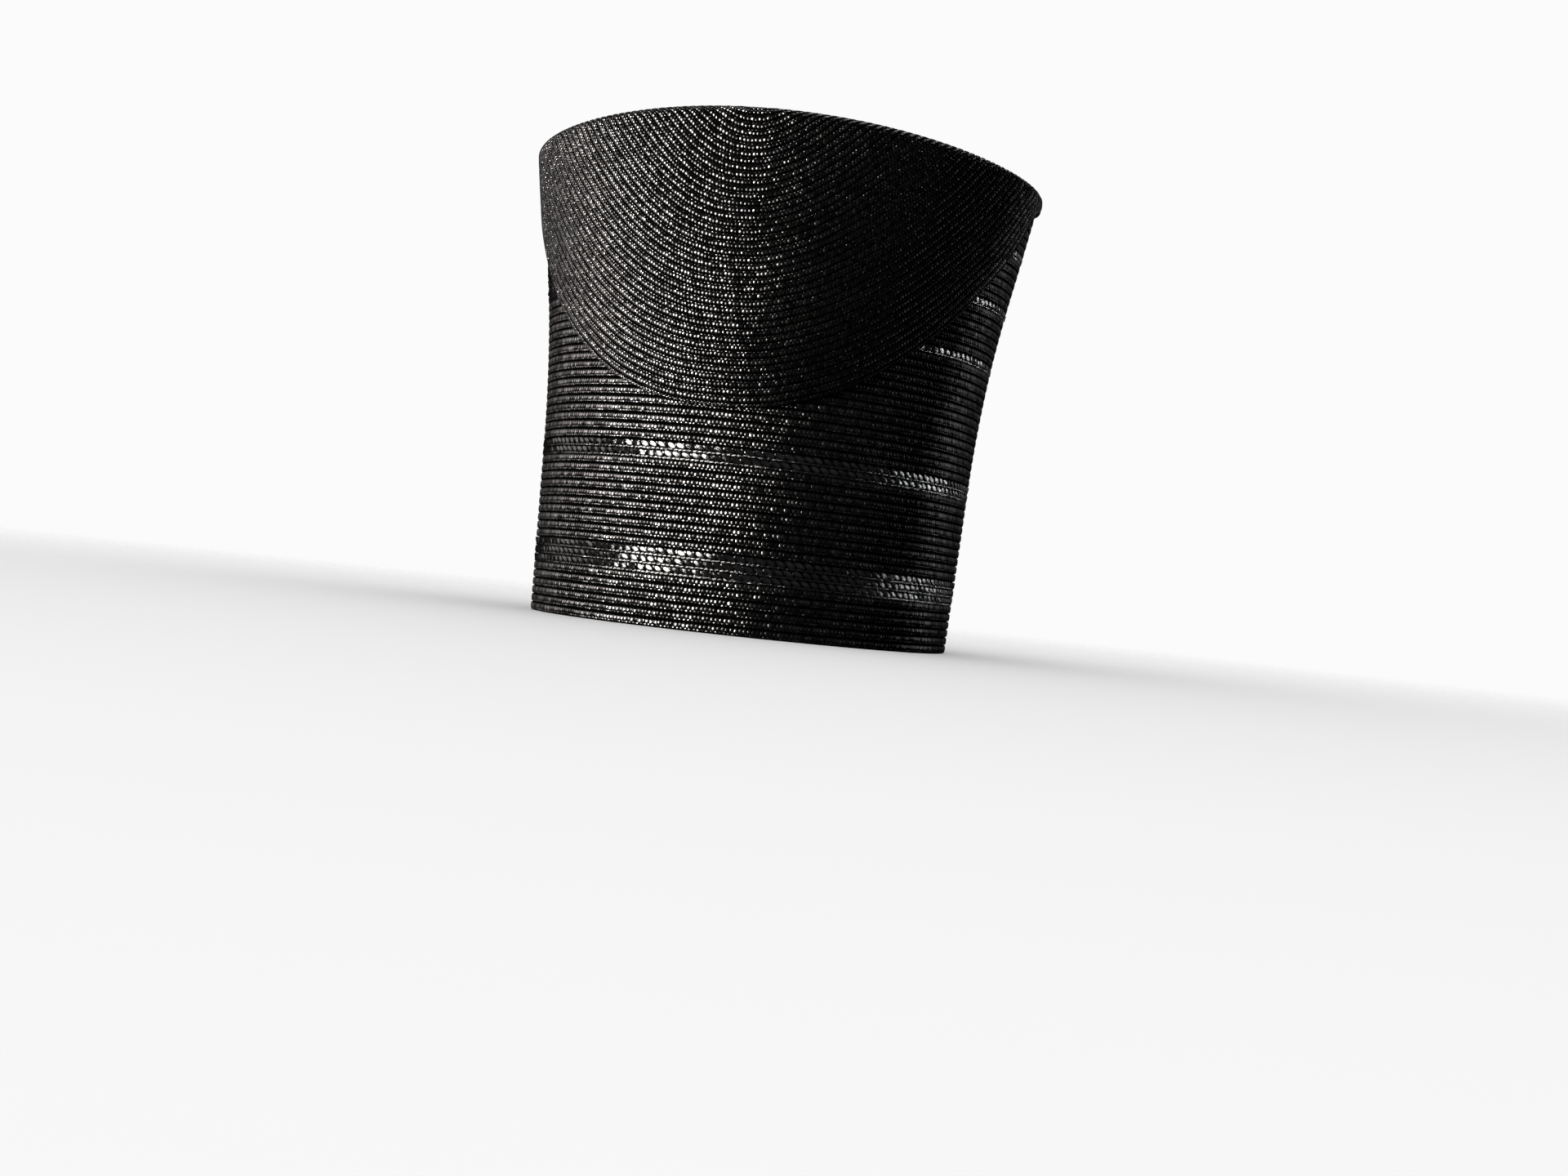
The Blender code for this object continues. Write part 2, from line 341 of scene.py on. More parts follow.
def half_axes(height):
    """Half width and half depth of the wall's oval at a height."""
    width = smooth_table(SECTION_HEIGHTS, SECTION_WIDTHS, height)
    return width, smooth_table(SECTION_HEIGHTS, SECTION_DEPTHS, height)


def angle_chart():
    """Angle round the oval for even steps along the girth, for a run of heights."""
    heights = np.linspace(SECTION_HEIGHTS[0], SECTION_HEIGHTS[-1], ANGLE_HEIGHTS)
    shares = np.linspace(0.0, 1.0, ANGLE_STEPS + 1)
    chart = []
    for height in heights:
        angle, length = oval_lengths(*half_axes(height))
        chart.append(np.interp(shares * length[-1], length, angle))
    return np.array(chart)


CHART = angle_chart()


def wall_at(along, height):
    """Place on the outside of the wall and the level outward direction there."""
    along, height = np.broadcast_arrays(np.asarray(along, float), np.asarray(height, float))
    across = (along / GIRTH % 1.0) * ANGLE_STEPS
    upwards = np.clip(height / SECTION_HEIGHTS[-1], 0.0, 1.0) * (ANGLE_HEIGHTS - 1)
    i = np.minimum(across.astype(int), ANGLE_STEPS - 1)
    j = np.minimum(upwards.astype(int), ANGLE_HEIGHTS - 2)
    u, v = across - i, upwards - j
    low = CHART[j, i] * (1 - u) + CHART[j, i + 1] * u
    high = CHART[j + 1, i] * (1 - u) + CHART[j + 1, i + 1] * u
    angle = low * (1 - v) + high * v
    width, depth = half_axes(height)
    place = np.stack([width * np.cos(angle), depth * np.sin(angle), height], axis=-1)
    out = np.stack([np.cos(angle) / width, np.sin(angle) / depth, np.zeros_like(angle)], axis=-1)
    return place, out / np.linalg.norm(out, axis=-1, keepdims=True)


def top_height(x, y):
    """Height of the outside of the top, arched from side to side with a low crown."""
    width, depth = half_axes(CORNER_HEIGHT)
    width = width + DISC_OFFSET - FOLD_RADIUS
    depth = depth + DISC_OFFSET - FOLD_RADIUS
    arch = FRONT_ARCH * np.maximum(0.0, 1.0 - (x / width) ** 2)
    crown = TOP_CROWN * np.maximum(0.0, 1.0 - (x / width) ** 2 - (y / depth) ** 2) ** 2
    return CORNER_HEIGHT + arch + crown


def fold_line():
    """The corner line where top and side would meet, with its outward direction and height."""
    along = np.linspace(0.0, GIRTH, FOLD_STEPS + 1)
    height = np.full_like(along, CORNER_HEIGHT)
    for _ in range(FOLD_ROUNDS):
        place, out = wall_at(along, height - FOLD_RADIUS)
        start = place + out * (DISC_OFFSET - FOLD_RADIUS)
        height = top_height(start[:, 0], start[:, 1])
    corner = place + out * DISC_OFFSET
    corner[:, 2] = height
    return along, corner, out


FOLD_ALONG, FOLD_CORNER, FOLD_OUT = fold_line()
FOLD_TANGENT = np.stack([-FOLD_OUT[:, 1], FOLD_OUT[:, 0]], axis=-1)
SPIRAL_CENTRE = FOLD_CORNER[0, :2] + np.array([0.0, SPIRAL_SETBACK])


def on_fold(along, field):
    """What a field of the corner line holds at a distance along the girth."""
    wrapped = np.asarray(along) % GIRTH
    parts = [np.interp(wrapped, FOLD_ALONG, field[:, k]) for k in range(field.shape[1])]
    return np.stack(parts, axis=-1)


def edge_depth(along):
    """Depth of the disc's free edge below the corner line, alike on both sides."""
    distance = np.minimum(along % GIRTH, GIRTH - along % GIRTH)
    return smooth_table(EDGE_ALONG, EDGE_DEPTH, distance)


def new_object(name, mesh, material):
    """A piece at the origin, with its place in its mesh."""
    mesh.materials.append(material)
    item = bpy.data.objects.new(name, mesh)
    bpy.context.collection.objects.link(item)
    return item


def mapped_grid(name, columns, rows, place, texture, outwards):
    """A grid laid over a shape: place gives the points and texture the pattern's coordinates."""
    mesh_data = bmesh.new()
    bmesh.ops.create_grid(mesh_data, x_segments=columns, y_segments=rows, size=0.5)
    mesh = bpy.data.meshes.new(name)
    mesh_data.to_mesh(mesh)
    mesh_data.free()
    flat = np.empty(len(mesh.vertices) * 3)
    mesh.vertices.foreach_get("co", flat)
    flat = flat.reshape(-1, 3)
    spread = flat.max(axis=0) - flat.min(axis=0)
    column = np.rint((flat[:, 0] - flat[:, 0].min()) / spread[0] * columns).astype(int)
    row = np.rint((flat[:, 1] - flat[:, 1].min()) / spread[1] * rows).astype(int)
    mesh.vertices.foreach_set("co", place[column, row].ravel())
    corner = np.empty(len(mesh.loops), dtype=np.int32)
    mesh.loops.foreach_get("vertex_index", corner)
    corner = corner.reshape(-1, 4)
    lowest = row[corner].min(axis=1)[:, None]
    pair = texture(column[corner], row[corner], lowest)
    layer = mesh.uv_layers.new(name="Rows")
    layer.data.foreach_set("uv", np.stack(pair, axis=-1).ravel())
    mesh.update()
    normals = np.empty(len(mesh.polygons) * 3)
    mesh.polygons.foreach_get("normal", normals)
    facing = (normals.reshape(-1, 3) * outwards[column[corner[:, 0]], row[corner[:, 0]]]).sum()
    mesh_data = bmesh.new()
    mesh_data.from_mesh(mesh)
    if facing < 0.0:
        bmesh.ops.reverse_faces(mesh_data, faces=mesh_data.faces)
    bmesh.ops.remove_doubles(mesh_data, verts=mesh_data.verts, dist=MERGE_DISTANCE)
    for face in mesh_data.faces:
        face.smooth = True
    mesh_data.to_mesh(mesh)
    mesh_data.free()
    return mesh


def in_band(along, row):
    """True where a row of the wall gives way to an accent row."""
    signed = (along + 0.5 * GIRTH) % GIRTH - 0.5 * GIRTH
    found = np.zeros(np.broadcast(along, row).shape, dtype=bool)
    for band in BANDS:
        rows = (row >= band.first_row - 1) & (row < band.last_row)
        if band.start != band.end:
            rows = rows & (signed > band.start * MM) & (signed < band.end * MM)
        found |= rows
    return found


def build_wall(material):
    """The tube of sewn rows: outside rows, top edge, inside and rim in one closed shell."""
    shares = [k + point.share for k in range(WALL_ROWS) for point in WALL_RELIEF]
    shares = np.array(shares + [WALL_ROWS])
    lifts = np.array([point.lift for point in WALL_RELIEF] * WALL_ROWS + [WALL_RELIEF[0].lift]) * MM
    along = np.linspace(0.0, GIRTH, WALL_COLUMNS + 1)[:, None]
    top = on_fold(along[:, 0], FOLD_CORNER)[:, 2:] - DISC_OFFSET
    height = np.minimum(shares[None, :] * ROW_PITCH, top)
    bedded = in_band(along, shares[None, :] - HAIR) | in_band(along, shares[None, :] + HAIR)
    lift = np.where(bedded, -ACCENT_BED, lifts[None, :] + np.zeros_like(along))
    lift = np.where(height > top - SET_BACK, -SET_BACK, lift)
    inner = np.linspace(1.0, 0.0, INNER_LEVELS)[None, :] * top
    height = np.concatenate([height, inner, height[:, :1]], axis=1)
    lift = np.concatenate([lift, np.full(inner.shape, -WALL_THICKNESS), lift[:, :1]], axis=1)
    place, out = wall_at(along, height)
    place = place + out * lift[..., None]
    facing = out * np.where(lift > -INSIDE_FROM, 1.0, -1.0)[..., None]

    def texture(column, row, lowest):
        return column / WALL_COLUMNS * WALL_STITCHES, height[column, row] / ROW_PITCH

    mesh = mapped_grid("side_wall_rows", WALL_COLUMNS, height.shape[1] - 1, place, texture, facing)
    wall = new_object("side_wall_rows", mesh, material)
    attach(wall, "root")
    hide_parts("side_wall")
    return wall


def spokes():
    """The lines of the disc from its centre to its free edge, from the back round to the back."""
    front = [edge for edge in APRON_EDGE if edge.along <= APRON_END]
    reach = np.array([edge.depth for edge in front]) * MM + SPIRAL_SETBACK
    edge_along = np.concatenate([metres(front, "along"), metres(SIDE_SPOKES, "edge_along")])
    fold_along = np.concatenate(
        [metres(front, "along") * SPIRAL_SETBACK / reach, metres(SIDE_SPOKES, "fold_along")]
    )
    share = np.concatenate([SPIRAL_SETBACK / reach, [spoke.top_share for spoke in SIDE_SPOKES]])
    fine = np.linspace(0.0, 0.5 * GIRTH, EDGE_STEPS)
    fine_fold = smooth_table(edge_along, fold_along, fine)
    fine_edge = np.hypot(np.diff(fine), np.diff(edge_depth(fine)))
    travel = np.concatenate([[0.0], np.cumsum(np.maximum(fine_edge, np.diff(fine_fold)))])
    count = int(round(travel[-1] / SPOKE_STEP))
    at = np.interp(np.linspace(0.0, travel[-1], count + 1), travel, fine)
    at_fold = smooth_table(edge_along, fold_along, at)
    columns = np.stack([at, at_fold, smooth_table(edge_along, share, at)], axis=1)
    mirrored = columns[::-1] * np.array([-1.0, -1.0, 1.0])
    return np.concatenate([mirrored[:-1], columns])


def disc_at(ring, lift, lines):
    """Points of the disc for shares of its rows along each line, lifted off its face."""
    edge_along, fold_along, share = [lines[:, k][:, None] for k in range(3)]
    corner = on_fold(fold_along[:, 0], FOLD_CORNER)[:, None, :]
    # On the top: straight from the spiral centre to the corner line
    run = np.clip(ring / share, 0.0, 1.0)[..., None]
    flat = SPIRAL_CENTRE + run * (corner[..., :2] - SPIRAL_CENTRE)
    near = nearest_on_fold(flat)
    near_corner = on_fold(near, FOLD_CORNER)
    near_out = on_fold(near, FOLD_OUT)
    inside = ((near_corner[..., :2] - flat) * near_out[..., :2]).sum(axis=-1)
    # On the side: straight on the unrolled wall from the corner line to the free edge
    hang = np.clip((ring - share) / (1.0 - share), 0.0, None)
    side_along = fold_along + hang * (edge_along - fold_along)
    side_depth = hang * edge_depth(edge_along)
    on_side = ring > share
    along = np.where(on_side, side_along, near)
    travel = np.where(on_side, side_depth, -inside)
    corner = on_fold(along, FOLD_CORNER)
    out = on_fold(along, FOLD_OUT)
    turn = np.clip((travel + FOLD_RADIUS) / (2.0 * FOLD_RADIUS), 0.0, 1.0) * 0.5 * math.pi
    up = np.array([0.0, 0.0, 1.0])
    normal = out * np.sin(turn)[..., None] + up * np.cos(turn)[..., None]
    hinge = corner - (out + up) * FOLD_RADIUS
    place = hinge + normal * FOLD_RADIUS
    top = np.concatenate([flat, top_height(flat[..., 0], flat[..., 1])[..., None]], axis=-1)
    place = np.where((travel < -FOLD_RADIUS)[..., None], top, place)
    low, low_out = wall_at(along, corner[..., 2] - np.maximum(travel, FOLD_RADIUS))
    place = np.where((travel > FOLD_RADIUS)[..., None], low + low_out * DISC_OFFSET, place)
    normal = np.where((travel > FOLD_RADIUS)[..., None], low_out, normal)
    return place + normal * lift[..., None], normal


def nearest_on_fold(flat):
    """Distance along the girth of the corner line's nearest point, by a few steps along it."""
    width, depth = FOLD_CORNER[:, 0].max(), FOLD_CORNER[:, 1].max()
    angle = np.arctan2(flat[..., 1] / depth, flat[..., 0] / width)
    line_angle = np.unwrap(np.arctan2(FOLD_CORNER[:, 1] / depth, FOLD_CORNER[:, 0] / width))
    along = np.interp((angle - line_angle[0]) % (2.0 * math.pi) + line_angle[0], line_angle, FOLD_ALONG)
    for _ in range(NEAREST_ROUNDS):
        gap = flat - on_fold(along, FOLD_CORNER)[..., :2]
        along = along + NEAREST_STEP * (gap * on_fold(along, FOLD_TANGENT)).sum(axis=-1)
    return along % GIRTH


def build_disc(material):
    """The spiral of sewn rows over the top and down the front, with a plain inner side."""
    lines = spokes()
    points = len(DISC_RELIEF)
    shares = np.array([k + point.share for k in range(DISC_ROWS + 1) for point in DISC_RELIEF])
    lifts = np.array([point.lift for point in DISC_RELIEF] * (DISC_ROWS + 1)) * MM
    turn = (lines[:, 1] / GIRTH + 0.5)[:, None]
    ring = (shares[None, :] + turn - 1.0) / DISC_ROWS
    lift = np.where(ring < 1.0, lifts[None, :], lifts[0])
    inner = np.repeat(np.linspace(1.0, 0.0, DISC_INNER_RINGS)[None, :], len(lines), axis=0)
    ring = np.concatenate([np.clip(ring, 0.0, 1.0), inner], axis=1)
    lift = np.concatenate([lift, np.full(inner.shape, -DISC_SHELL)], axis=1)
    place, normal = disc_at(ring, lift, lines)
    normal = normal * np.where(np.arange(ring.shape[1]) < len(shares), 1.0, -1.0)[None, :, None]
    middles = place[:, points // 2 : len(shares) : points]
    steps = np.linalg.norm(np.diff(middles, axis=0), axis=-1)
    length = np.concatenate([np.zeros((1, steps.shape[1])), np.cumsum(steps, axis=0)])
    length += np.concatenate([[0.0], np.cumsum(length[-1])[:-1]])[None, :]
    across = np.concatenate([shares, inner[0] * DISC_ROWS])

    def texture(column, row, lowest):
        own = np.minimum(across[lowest].astype(int), DISC_ROWS)
        return length[column, own + np.zeros_like(column)] / DISC_STITCH, across[row]

    mesh = mapped_grid("spiral_disc_rows", len(lines) - 1, ring.shape[1] - 1, place, texture, normal)
    disc = new_object("spiral_disc_rows", mesh, material)
    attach(disc, "root")
    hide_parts("spiral_disc")
    return disc


def leaf_shape():
    """One long rounded leaf lying along X, its face towards Z."""
    mesh_data = bmesh.new()
    bmesh.ops.create_uvsphere(mesh_data, u_segments=LEAF_SEGMENTS, v_segments=LEAF_RINGS, radius=1.0)
    lying = Matrix.Rotation(math.radians(90.0), 3, "Y")
    bmesh.ops.rotate(mesh_data, verts=mesh_data.verts, matrix=lying)
    points = np.array([vertex.co[:] for vertex in mesh_data.verts])
    faces = [[vertex.index for vertex in face.verts] for face in mesh_data.faces]
    mesh_data.free()
    points[:, 2] = np.sign(points[:, 2]) * np.abs(points[:, 2]) ** LEAF_FLATNESS
    return points, faces


def leaf_shading(out, shape, turn, tilt):
    """Directions that let each leaf shine as one gentle dome, turned and tilted with the leaf."""
    slope_x = (tilt - LEAF_DOME.along * shape[None, :, 0])[..., None]
    slope_y = (-LEAF_DOME.across * shape[None, :, 1])[..., None]
    sideways = np.stack([-out[..., 1], out[..., 0], np.zeros_like(out[..., 0])], axis=-1)
    shading = out - (slope_x * np.cos(turn) - slope_y * np.sin(turn)) * sideways
    shading[..., 2:] -= slope_x * np.sin(turn) + slope_y * np.cos(turn)
    return shading


def lay_leaves(band, row, leaf, drift, shape, rng):
    """One lane of leaves along a row: their points, shading directions and pattern places."""
    closed = band.start == band.end
    span = GIRTH if closed else (band.end - band.start) * MM
    count = leaf.copies * int(round(span / ACCENT_STITCH))
    step = span / count
    along = band.start * MM + (np.arange(count) + 0.5) * step
    if closed:
        along = along + drift * step
    along = along + rng.normal(0.0, LEAF_SPREAD.along * MM, count)
    if not closed:
        along = np.clip(along, (band.start + BAND_END) * MM, (band.end - BAND_END) * MM)
    height = (row + leaf.share) * ROW_PITCH + rng.normal(0.0, LEAF_SPREAD.height * MM, count)
    slant = np.radians(leaf.slant + rng.normal(0.0, LEAF_SPREAD.slant, count))[:, None]
    size = 1.0 + rng.normal(0.0, LEAF_SPREAD.size, count)[:, None]
    tilt = np.tan(np.radians(rng.normal(0.0, LEAF_SPREAD.tilt, count)))[:, None]
    x = shape[None, :, 0] * leaf.length * MM * size
    y = shape[None, :, 1] * leaf.width * MM * size
    rise = shape[None, :, 2] * leaf.height * MM + leaf.lift * MM + x * tilt
    side = x * np.cos(slant) - y * np.sin(slant)
    up = x * np.sin(slant) + y * np.cos(slant)
    point, out = wall_at(along[:, None] + side, height[:, None] + up)
    point = point + out * rise[..., None]
    shading = leaf_shading(out, shape, slant[..., None], tilt)
    u = shape[None, :, 0] + PATTERN_STEP * rng.integers(0, RIDGE_PATTERNS, count)[:, None]
    pattern = np.stack([u, shape[None, :, 1] + np.zeros_like(u)], axis=-1)
    return point.reshape(-1, 3), shading.reshape(-1, 3), pattern.reshape(-1, 2)


def build_plait(band, material):
    """The accent rows of one band: lanes of large and small glossy leaves, one over the other."""
    shape, faces = leaf_shape()
    rng = np.random.default_rng(band.first_row)
    lanes = []
    for row in range(band.first_row - 1, band.last_row):
        drift = rng.uniform(0.0, 1.0)
        for leaf in LEAVES:
            lanes.append(lay_leaves(band, row, leaf, drift, shape, rng))
    places, shadings, patterns = [np.concatenate(parts) for parts in zip(*lanes)]
    starts = range(0, len(places), len(shape))
    repeated = [[index + start for index in face] for start in starts for face in faces]
    mesh = bpy.data.meshes.new(band.name + "_plait")
    mesh.from_pydata(places, [], repeated)
    corner = np.empty(len(mesh.loops), dtype=np.int32)
    mesh.loops.foreach_get("vertex_index", corner)
    layer = mesh.uv_layers.new(name="Rows")
    layer.data.foreach_set("uv", patterns[corner].ravel())
    mesh.shade_smooth()
    mesh.normals_split_custom_set_from_vertices(shadings)
    plait = new_object(band.name + "_plait", mesh, material)
    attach(plait, "root")
    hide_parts(band.name)
    return plait


class Graph:
    """Small helper that adds shader nodes and links them."""

    def __init__(self, name):
        self.material = bpy.data.materials.new(name)
        self.material.use_nodes = True
        self.tree = self.material.node_tree
        self.shader = self.tree.nodes["Principled BSDF"]

    def add(self, kind, **settings):
        node = self.tree.nodes.new(kind)
        for key, value in settings.items():
            setattr(node, key, value)
        return node

    def put(self, socket, value):
        if isinstance(value, (int, float, tuple)):
            socket.default_value = value
        else:
            self.tree.links.new(value, socket)

    def shade(self, socket, value):
        self.put(self.shader.inputs[socket], value)

    def rows(self):
        """A piece's own coordinates: stitches along the row and rows across, or places on a leaf."""
        return self.add("ShaderNodeUVMap", uv_map="Rows").outputs[0]

    def math(self, operation, first, second=0.0, third=0.0):
        node = self.add("ShaderNodeMath", operation=operation)
        for socket, value in zip(node.inputs, (first, second, third)):
            self.put(socket, value)
        return node.outputs[0]

    def parts(self, kind, value):
        """The separate numbers of a vector or a colour."""
        node = self.add(kind)
        self.put(node.inputs[0], value)
        return node.outputs

    def join(self, first, second, third=0.0):
        """A vector from its separate numbers."""
        node = self.add("ShaderNodeCombineXYZ")
        for socket, value in zip(node.inputs, (first, second, third)):
            self.put(socket, value)
        return node.outputs[0]

    def fade(self, value, start, end, first=0.0, last=1.0):
        """Smooth change from the first number to the last, between start and end of a value."""
        node = self.add("ShaderNodeMapRange", interpolation_type="SMOOTHSTEP")
        sockets = ("Value", "From Min", "From Max", "To Min", "To Max")
        for socket, number in zip(sockets, (value, start, end, first, last)):
            self.put(node.inputs[socket], number)
        return node.outputs["Result"]

    def noise(self, place, scale, detail):
        node = self.add("ShaderNodeTexNoise", noise_dimensions="3D")
        for socket, value in zip(("Vector", "Scale", "Detail"), (place, scale, detail)):
            self.put(node.inputs[socket], value)
        return node.outputs["Fac"]

    def tones(self, share, colour, dark, light):
        """A colour between a darker and a lighter tone of one base colour."""
        node = self.add("ShaderNodeMix", data_type="RGBA")
        self.put(node.inputs[0], share)
        self.put(node.inputs[6], tuple(dark * part for part in colour) + (1.0,))
        self.put(node.inputs[7], tuple(light * part for part in colour) + (1.0,))
        return node.outputs[2]

    def bump(self, height, depth, base=None):
        node = self.add("ShaderNodeBump")
        self.put(node.inputs["Distance"], depth)
        self.put(node.inputs["Height"], height)
        if base is not None:
            self.put(node.inputs["Normal"], base)
        return node.outputs["Normal"]


def stitch_slopes(graph, along, across, stitch):
    """One rounded stitch: where it lies, and its slopes along and across the row."""
    u = graph.math("DIVIDE", graph.math("SUBTRACT", along, 0.5), stitch.reach)
    v = graph.math("DIVIDE", graph.math("SUBTRACT", across, stitch.share), stitch.half)
    inside = graph.math("ADD", graph.math("MULTIPLY", u, u), graph.math("MULTIPLY", v, v))
    slope_along = graph.math("MULTIPLY", u, stitch.slope_along)
    slope_across = graph.math("MULTIPLY", v, stitch.slope_across)
    return graph.math("LESS_THAN", inside, 1.0), (slope_along, slope_across)


def pick(graph, mask, first, second):
    """The first value where the mask is 1 and the second where it is 0."""
    rest = graph.math("MULTIPLY", second, graph.math("SUBTRACT", 1.0, mask))
    return graph.math("ADD", graph.math("MULTIPLY", first, mask), rest)


def sewn_stitches(graph, rows, stitches):
    """Both lanes of stitches: where they lie, how they slope, and three chances for each."""
    along, across = graph.parts("ShaderNodeSeparateXYZ", rows)[:2]
    row = graph.math("FLOOR", across)
    inside = graph.math("FRACT", across)
    drift = graph.add("ShaderNodeTexWhiteNoise", noise_dimensions="1D")
    graph.put(drift.inputs["W"], row)
    first = graph.math("ADD", along, drift.outputs["Value"])
    second = graph.math("ADD", first, 0.5)
    large, large_slopes = stitch_slopes(graph, graph.math("FRACT", first), inside, stitches[0])
    small, small_slopes = stitch_slopes(graph, graph.math("FRACT", second), inside, stitches[1])
    own = graph.math("FLOOR", graph.math("MULTIPLY_ADD", large, -0.5, second))
    lane = graph.math("ADD", graph.math("MULTIPLY", row, 2.0), large)
    chance = graph.add("ShaderNodeTexWhiteNoise", noise_dimensions="2D")
    graph.put(chance.inputs["Vector"], graph.join(own, lane))
    chances = graph.parts("ShaderNodeSeparateColor", chance.outputs["Color"])
    slopes = []
    for k, most in enumerate(LEANS):
        lean = graph.math("MULTIPLY", graph.math("SUBTRACT", chances[k], 0.5), most)
        slopes.append(graph.math("ADD", pick(graph, large, large_slopes[k], small_slopes[k]), lean))
    return graph.math("MAXIMUM", large, small), slopes, chances


def stitch_relief(graph, rows, slopes):
    """The way that each stitch faces, with fine fibres over it."""
    along, across = [graph.math("MULTIPLY_ADD", slope, 0.5, 0.5) for slope in slopes]
    facing = graph.add("ShaderNodeNormalMap", space="TANGENT", uv_map="Rows")
    graph.put(facing.inputs["Color"], graph.join(along, across, 1.0))
    fibres = graph.noise(rows, FIBRE_SCALE, FIBRE_DETAIL)
    return graph.bump(fibres, FIBRE_DEPTH, facing.outputs[0])


def grazing_share(graph):
    """From 0 face on to 1 where the braid is seen along its surface."""
    facing = graph.add("ShaderNodeLayerWeight")
    return graph.fade(facing.outputs["Facing"], GRAZING_START, GRAZING_END)


def braid_material(name, stitches):
    """Fine sewn braid: a lane of large and a lane of small glossy stitches on every row."""
    graph = Graph(name)
    rows = graph.rows()
    stitched, slopes, chances = sewn_stitches(graph, rows, stitches)
    grazing = grazing_share(graph)
    tone = graph.math("MULTIPLY", chances[2], stitched)
    rough = graph.math("MULTIPLY_ADD", chances[2], ROUGHNESS_SPREAD, STITCH_ROUGHNESS)
    gloss = graph.math("POWER", chances[1], GLOSS_POWER)
    gloss = graph.math("MULTIPLY_ADD", gloss, GLOSS_SPREAD, LEAST_GLOSS)
    gloss = graph.math("MULTIPLY", gloss, graph.math("MULTIPLY_ADD", grazing, -GRAZING_LOSS, 1.0))
    graph.shade("Base Color", graph.tones(tone, BRAID_COLOUR, BRAID_DARK_TONE, BRAID_LIGHT_TONE))
    graph.shade("Roughness", graph.math("MULTIPLY_ADD", grazing, GRAZING_ROUGHNESS, rough))
    graph.shade("Specular IOR Level", graph.math("MULTIPLY", stitched, gloss))
    graph.shade("IOR", BRAID_IOR)
    graph.shade("Normal", stitch_relief(graph, rows, slopes))
    return graph.material


def plait_material(name):
    """Glossy flat straw: fine ridges along each leaf, and a gloss that ends before its rim."""
    graph = Graph(name)
    leaf = graph.rows()
    stretch = graph.add("ShaderNodeMapping")
    graph.put(stretch.inputs["Vector"], leaf)
    graph.put(stretch.inputs["Scale"], RIDGE_STRETCH)
    ridges = graph.noise(stretch.outputs[0], RIDGE_SCALE, RIDGE_DETAIL)
    along, across = graph.parts("ShaderNodeSeparateXYZ", leaf)[:2]
    along = graph.math("WRAP", along, 0.5 * PATTERN_STEP, -0.5 * PATTERN_STEP)
    rim = graph.math("ADD", graph.math("MULTIPLY", along, along), graph.math("MULTIPLY", across, across))
    graph.shade("Base Color", graph.tones(ridges, PLAIT_COLOUR, PLAIT_DARK_TONE, PLAIT_LIGHT_TONE))
    graph.shade("Roughness", graph.math("MULTIPLY_ADD", ridges, RIDGE_ROUGHNESS, PLAIT_ROUGHNESS))
    graph.shade("Specular IOR Level", graph.fade(rim, GLOSS_FULL, GLOSS_END, 1.0, 0.0))
    graph.shade("IOR", PLAIT_IOR)
    graph.shade("Normal", graph.bump(ridges, RIDGE_DEPTH))
    return graph.material


def floor_material():
    """Pale paper that fades into the equally pale surroundings away from the toque."""
    graph = Graph("pale_paper")
    place = graph.add("ShaderNodeTexCoord")
    reach = graph.add("ShaderNodeVectorMath", operation="LENGTH")
    graph.put(reach.inputs[0], place.outputs["Object"])
    graph.shade("Base Color", FLOOR_COLOUR)
    graph.shade("Roughness", FLOOR_ROUGHNESS)
    graph.shade("Alpha", graph.fade(reach.outputs["Value"], FLOOR_FADE_START, FLOOR_RADIUS, 1.0, 0.0))
    return graph.material


def build_floor():
    """Round pale floor under the toque, kept out of its gloss."""
    mesh_data = bmesh.new()
    bmesh.ops.create_circle(
        mesh_data, cap_ends=True, cap_tris=True, segments=FLOOR_SIDES, radius=FLOOR_RADIUS
    )
    mesh = bpy.data.meshes.new("studio_floor")
    mesh_data.to_mesh(mesh)
    mesh_data.free()
    floor = new_object("studio_floor", mesh, floor_material())
    floor.visible_glossy = False


def build_surroundings():
    """Pale even surroundings, kept out of the toque's gloss."""
    world = bpy.data.worlds.new("studio")
    world.use_nodes = True
    background = world.node_tree.nodes["Background"]
    background.inputs["Color"].default_value = SURROUNDINGS
    background.inputs["Strength"].default_value = 1.0
    bpy.context.scene.world = world
    world.cycles_visibility.glossy = False


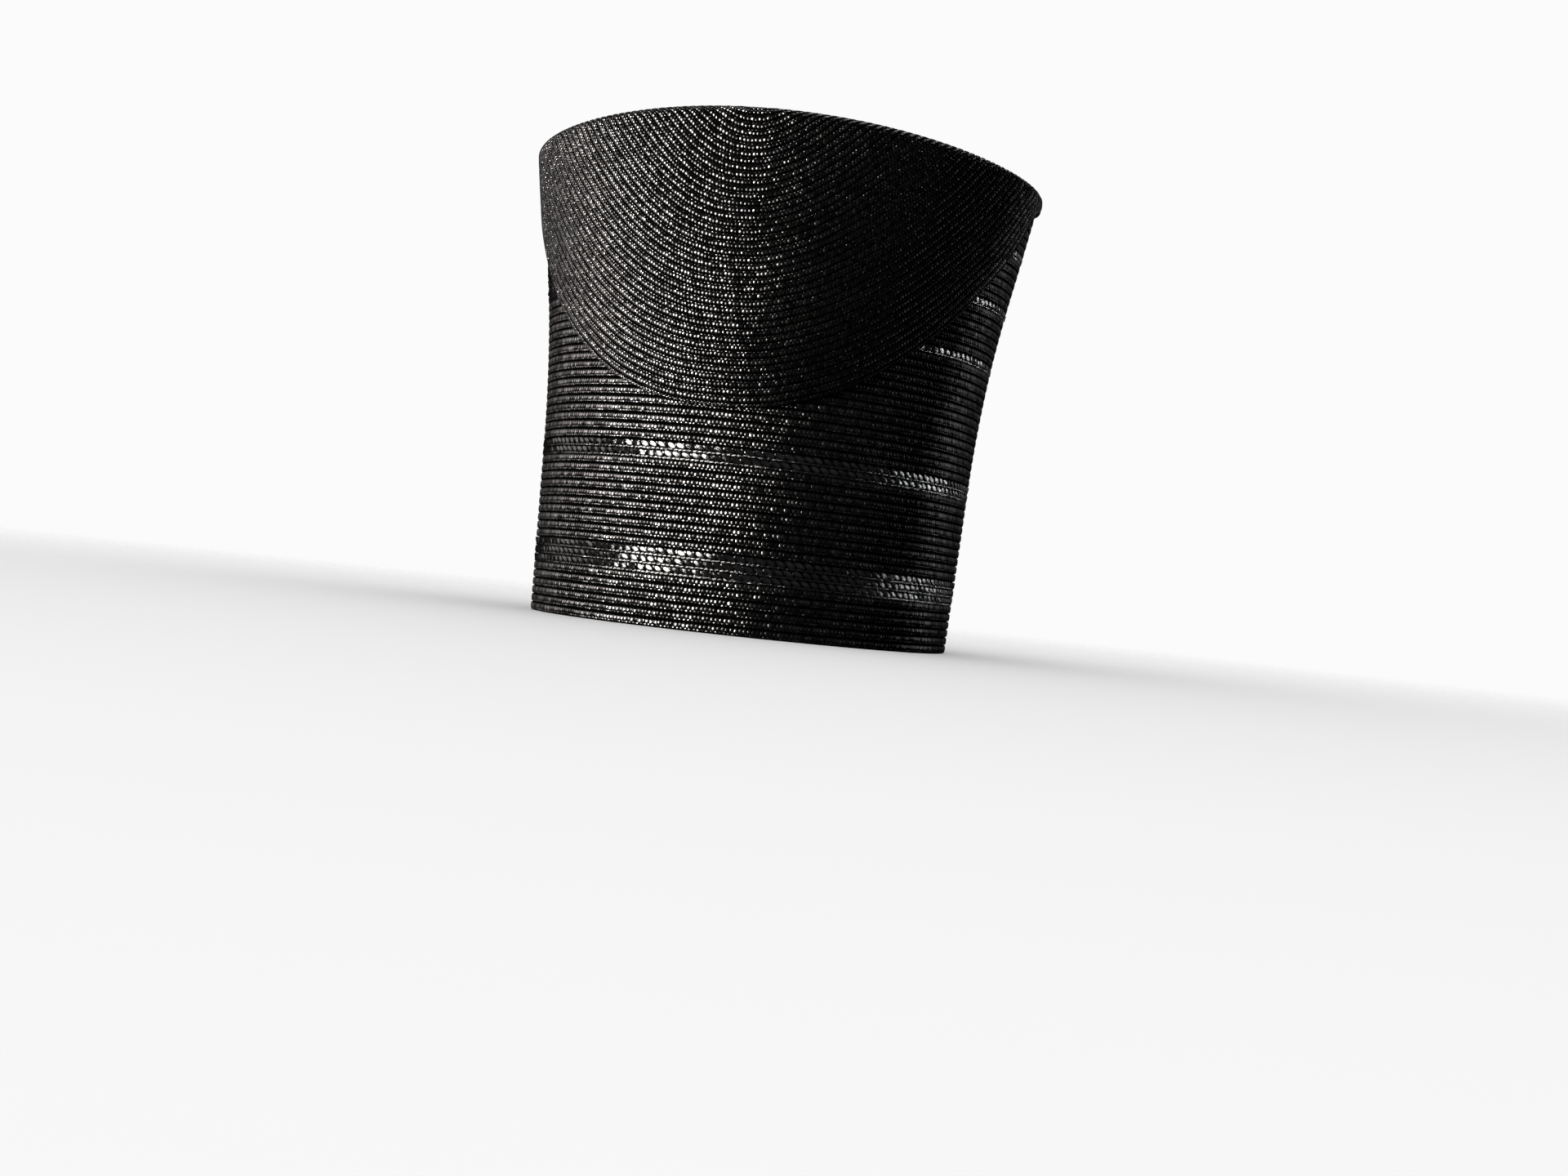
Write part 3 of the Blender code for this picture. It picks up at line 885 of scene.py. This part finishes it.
def build_light(light, lit_pieces):
    """One softbox that lights only the pieces it is flagged to."""
    data = bpy.data.lights.new(light.name, "AREA")
    data.shape = "RECTANGLE"
    data.size = light.width
    data.size_y = light.height
    data.energy = light.power
    data.color = light.tint
    turn, lift = math.radians(light.azimuth), math.radians(light.elevation)
    way = Vector((math.sin(turn) * math.cos(lift), -math.cos(turn) * math.cos(lift), math.sin(lift)))
    item = bpy.data.objects.new(light.name, data)
    item.location = way * light.distance + Vector((0.0, 0.0, LIGHT_AIM_HEIGHT))
    item.rotation_euler = way.to_track_quat("Z", "Y").to_euler()
    item.visible_camera = False
    lit = bpy.data.collections.new(light.name + "_lit")
    for piece in lit_pieces:
        lit.objects.link(piece)
    item.light_linking.receiver_collection = lit
    bpy.context.collection.objects.link(item)


def build_camera():
    """Level camera just over the floor, turned and rolled as the photograph shows the toque."""
    turn = math.radians(CAMERA_TURN)
    forward = Vector((-math.sin(turn), math.cos(turn), 0.0))
    right = Vector((math.cos(turn), math.sin(turn), 0.0))
    up = Vector((0.0, 0.0, 1.0))
    data = bpy.data.cameras.new("camera")
    data.sensor_width = SENSOR_WIDTH
    data.lens = PIXELS_PER_MM * CAMERA_DISTANCE / MM * SENSOR_WIDTH / PICTURE_WIDTH
    data.clip_start = CAMERA_NEAR
    item = bpy.data.objects.new("camera", data)
    item.location = -forward * CAMERA_DISTANCE + right * CAMERA_ASIDE + up * CAMERA_HEIGHT
    upright = Matrix((right, up, -forward)).transposed()
    roll = Matrix.Rotation(math.radians(CAMERA_ROLL), 3, "Z")
    item.rotation_euler = (upright @ roll).to_euler()
    bpy.context.collection.objects.link(item)
    bpy.context.scene.camera = item


braid = braid_material("black_braid", WALL_STITCH_SHAPES)
disc_braid = braid_material("black_fine_braid", DISC_STITCH_SHAPES)
plait = plait_material("black_glossy_plait")

pieces = {
    "wall": [build_wall(braid)],
    "disc": [build_disc(disc_braid)],
    "plait": [build_plait(band, plait) for band in BANDS],
}
build_floor()
build_surroundings()
for light in LIGHTS:
    build_light(light, [piece for kind in light.kinds.split() for piece in pieces[kind]])
build_camera()
bpy.context.scene.view_settings.view_transform = "Standard"
